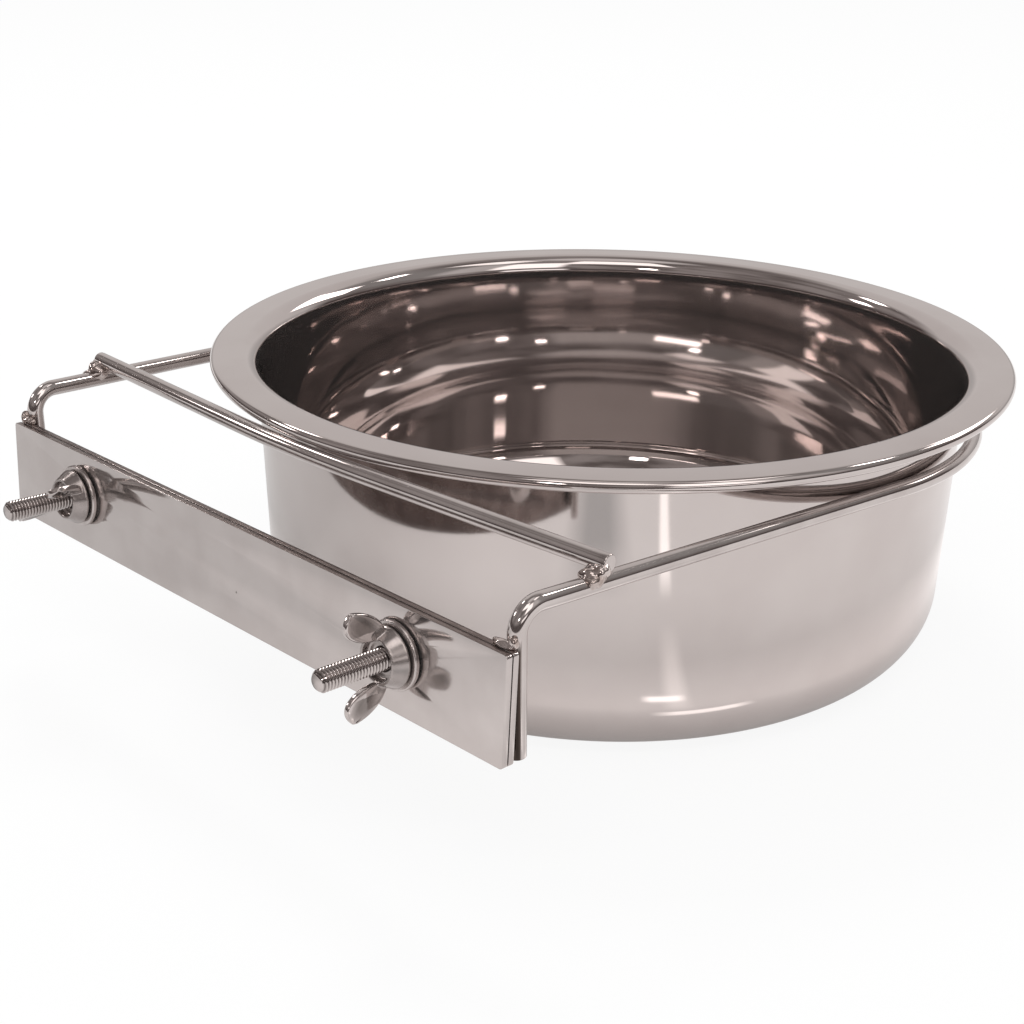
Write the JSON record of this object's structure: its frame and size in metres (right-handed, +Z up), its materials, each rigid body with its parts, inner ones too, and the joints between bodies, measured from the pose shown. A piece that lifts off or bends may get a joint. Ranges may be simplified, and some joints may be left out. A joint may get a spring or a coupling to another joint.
{
  "type": "clamp-on dog bowl",
  "caption": "Deep round steel feeding bowl carried in a bent wire ring, with a bolted two-plate clamp and wing nuts that grip the wires of a cage or kennel door.",
  "frame": {"origin": "middle of the bowl's flat base, on the bowl's axis", "axes": "+Z up along the bowl's axis, -Y from the bowl to the clamp, +X along the clamp plates"},
  "size_m": [0.21, 0.2526, 0.077],
  "materials": {
    "bowl_steel": "satin outside and on the flange, mirror polish inside",
    "bright_wire": "bright plated round wire",
    "plate_steel": "smooth satin sheet",
    "fastener_steel": "bright plated",
    "weld_steel": "plated over a small weld bead"
  },
  "bodies": {
    "frame": {"ring_wire": "bright_wire", "crossbar": "bright_wire", "crossbar_weld_left": "weld_steel", "crossbar_weld_right": "weld_steel", "leg_weld_left": "weld_steel", "leg_weld_right": "weld_steel", "rear_plate": "plate_steel", "bolt_left": "fastener_steel", "bolt_right": "fastener_steel"},
    "bowl": {"bowl": "bowl_steel"},
    "clamp_jaw": {"front_plate": "plate_steel", "washer_left": "fastener_steel", "washer_right": "fastener_steel"},
    "wing_nut_left": {"wing_nut_left": "fastener_steel"},
    "wing_nut_right": {"wing_nut_right": "fastener_steel"}
  },
  "joints": [
    {"name": "bowl_lift", "type": "slide", "parent": "frame", "child": "bowl", "axis": [0, 0, 1], "range_m": [0, 0.09]},
    {"name": "clamp_open", "type": "slide", "parent": "frame", "child": "clamp_jaw", "axis": [0, -0.9988, 0.0482], "range_m": [0, 0.015]},
    {"name": "wing_nut_left_turn", "type": "hinge", "parent": "clamp_jaw", "child": "wing_nut_left", "pos_m": [-0.05775, -0.12767, 0.0503], "axis": [0, -0.9988, 0.0482], "range_deg": [0, 6750]},
    {"name": "wing_nut_right_turn", "type": "hinge", "parent": "clamp_jaw", "child": "wing_nut_right", "pos_m": [0.05975, -0.12767, 0.0503], "axis": [0, -0.9988, 0.0482], "range_deg": [0, 6750]}
  ],
  "couplings": [
    {"joint": "wing_nut_left_turn", "follows": "clamp_open", "rad_per_m": 7854},
    {"joint": "wing_nut_right_turn", "follows": "clamp_open", "rad_per_m": 7854}
  ]
}
